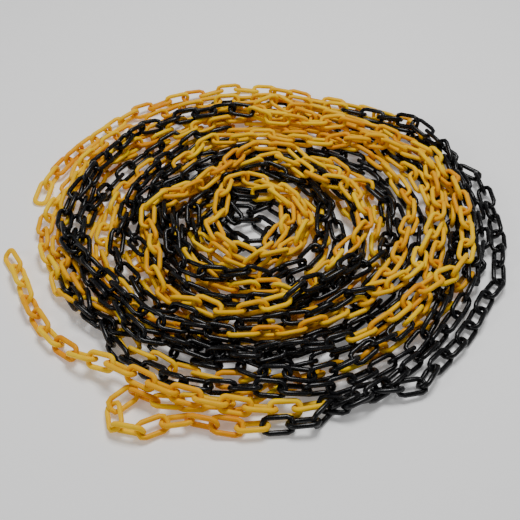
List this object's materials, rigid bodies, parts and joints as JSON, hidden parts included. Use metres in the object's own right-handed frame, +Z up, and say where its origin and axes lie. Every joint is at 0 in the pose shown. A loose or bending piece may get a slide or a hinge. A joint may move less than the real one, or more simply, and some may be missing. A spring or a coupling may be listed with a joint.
{
  "type": "plastic barrier chain",
  "caption": "Loose coil of plastic barrier chain in alternating yellow and black runs, laid flat on the floor; its links hook together or onto posts to mark off an area.",
  "frame": {"origin": "on the floor, under the middle of the outer box of the coil", "axes": "+Z up from the floor; X is the long way of the coil, with the free tail at -X; the picture looks from -Y towards +Y"},
  "size_m": [0.6276, 0.5944, 0.0536],
  "materials": {
    "yellow_plastic": "smooth injection-moulded polyethylene, coloured yellow all through, lightly scuffed",
    "black_plastic": "smooth injection-moulded polyethylene, coloured black all through, glossy"
  },
  "bodies": {
    "coil": {"black_run_01": "black_plastic", "black_run_03": "black_plastic", "black_run_05": "black_plastic", "black_run_07": "black_plastic", "black_run_09": "black_plastic", "black_run_11": "black_plastic", "black_run_13": "black_plastic", "black_run_15": "black_plastic", "black_run_17": "black_plastic", "black_run_19": "black_plastic", "black_run_21": "black_plastic", "black_run_23": "black_plastic", "black_run_25": "black_plastic", "black_run_27": "black_plastic", "black_run_29": "black_plastic", "black_run_31": "black_plastic", "black_run_33": "black_plastic", "black_run_35": "black_plastic", "tail_link_08": "yellow_plastic", "tail_link_09": "yellow_plastic", "tail_link_10": "yellow_plastic", "tail_link_11": "yellow_plastic", "tail_link_12": "yellow_plastic", "tail_link_13": "yellow_plastic", "tail_link_14": "yellow_plastic", "tail_link_15": "yellow_plastic", "tail_link_16": "yellow_plastic", "tail_link_17": "yellow_plastic", "tail_link_18": "yellow_plastic", "yellow_run_02": "yellow_plastic", "yellow_run_04": "yellow_plastic", "yellow_run_06": "yellow_plastic", "yellow_run_08": "yellow_plastic", "yellow_run_10": "yellow_plastic", "yellow_run_12": "yellow_plastic", "yellow_run_14": "yellow_plastic", "yellow_run_16": "yellow_plastic", "yellow_run_18": "yellow_plastic", "yellow_run_20": "yellow_plastic", "yellow_run_22": "yellow_plastic", "yellow_run_24": "yellow_plastic", "yellow_run_26": "yellow_plastic", "yellow_run_28": "yellow_plastic", "yellow_run_30": "yellow_plastic", "yellow_run_32": "yellow_plastic", "yellow_run_34": "yellow_plastic", "yellow_run_36": "yellow_plastic"},
    "tail_link_01": {"tail_link_01": "yellow_plastic"},
    "tail_link_02": {"tail_link_02": "yellow_plastic"},
    "tail_link_03": {"tail_link_03": "yellow_plastic"},
    "tail_link_04": {"tail_link_04": "yellow_plastic"},
    "tail_link_05": {"tail_link_05": "yellow_plastic"},
    "tail_link_06": {"tail_link_06": "yellow_plastic"},
    "tail_link_07": {"tail_link_07": "yellow_plastic"},
    "end_link_01": {"end_link_01": "yellow_plastic"},
    "end_link_02": {"end_link_02": "yellow_plastic"},
    "end_link_03": {"end_link_03": "yellow_plastic"},
    "end_link_04": {"end_link_04": "yellow_plastic"},
    "end_link_05": {"end_link_05": "yellow_plastic"},
    "end_link_06": {"end_link_06": "yellow_plastic"}
  },
  "joints": [
    {"name": "tail_link_01_hinge", "type": "hinge", "parent": "tail_link_02", "child": "tail_link_01", "pos_m": [-0.29327, -0.0623, 0.00866], "axis": [0.6406, 0.2994, -0.7071], "range_deg": [0, 45]},
    {"name": "tail_link_02_hinge", "type": "hinge", "parent": "tail_link_03", "child": "tail_link_02", "pos_m": [-0.28197, -0.08627, 0.00866], "axis": [0.6479, 0.2833, 0.7071], "range_deg": [0, 45]},
    {"name": "tail_link_03_hinge", "type": "hinge", "parent": "tail_link_04", "child": "tail_link_03", "pos_m": [-0.27159, -0.11066, 0.00866], "axis": [0.6232, 0.3341, -0.7071], "range_deg": [0, 45]},
    {"name": "tail_link_04_hinge", "type": "hinge", "parent": "tail_link_05", "child": "tail_link_04", "pos_m": [-0.25937, -0.13421, 0.00866], "axis": [0.5827, 0.4005, 0.7071], "range_deg": [0, 45]},
    {"name": "tail_link_05_hinge", "type": "hinge", "parent": "tail_link_06", "child": "tail_link_05", "pos_m": [-0.2447, -0.15631, 0.00862], "axis": [0.5316, 0.4663, -0.707], "range_deg": [0, 20]},
    {"name": "tail_link_06_hinge", "type": "hinge", "parent": "tail_link_07", "child": "tail_link_06", "pos_m": [-0.22734, -0.17643, 0.00861], "axis": [0.3691, 0.6091, 0.702], "range_deg": [0, 30]},
    {"name": "tail_link_07_hinge", "type": "hinge", "parent": "coil", "child": "tail_link_07", "pos_m": [-0.20681, -0.19312, 0.01128], "axis": [0.5173, 0.5212, -0.6788], "range_deg": [0, 15]},
    {"name": "end_link_01_hinge", "type": "hinge", "parent": "end_link_02", "child": "end_link_01", "pos_m": [-0.28149, 0.07897, 0.011], "axis": [0, 0, -1], "range_deg": [0, 25]},
    {"name": "end_link_02_hinge", "type": "hinge", "parent": "end_link_03", "child": "end_link_02", "pos_m": [-0.27302, 0.1041, 0.011], "axis": [-0.9016, 0.4326, 0], "range_deg": [0, 45]},
    {"name": "end_link_03_hinge", "type": "hinge", "parent": "end_link_04", "child": "end_link_03", "pos_m": [-0.26185, 0.12815, 0.011], "axis": [0, 0, -1], "range_deg": [0, 25]},
    {"name": "end_link_04_hinge", "type": "hinge", "parent": "end_link_05", "child": "end_link_04", "pos_m": [-0.24826, 0.15092, 0.011], "axis": [-0.8033, 0.5956, 0], "range_deg": [0, 45]},
    {"name": "end_link_05_hinge", "type": "hinge", "parent": "end_link_06", "child": "end_link_05", "pos_m": [-0.23271, 0.1724, 0.011], "axis": [0, 0, -1], "range_deg": [0, 25]},
    {"name": "end_link_06_hinge", "type": "hinge", "parent": "coil", "child": "end_link_06", "pos_m": [-0.21517, 0.19228, 0.01115], "axis": [-0.744, 0.6682, 0], "range_deg": [0, 45]}
  ]
}
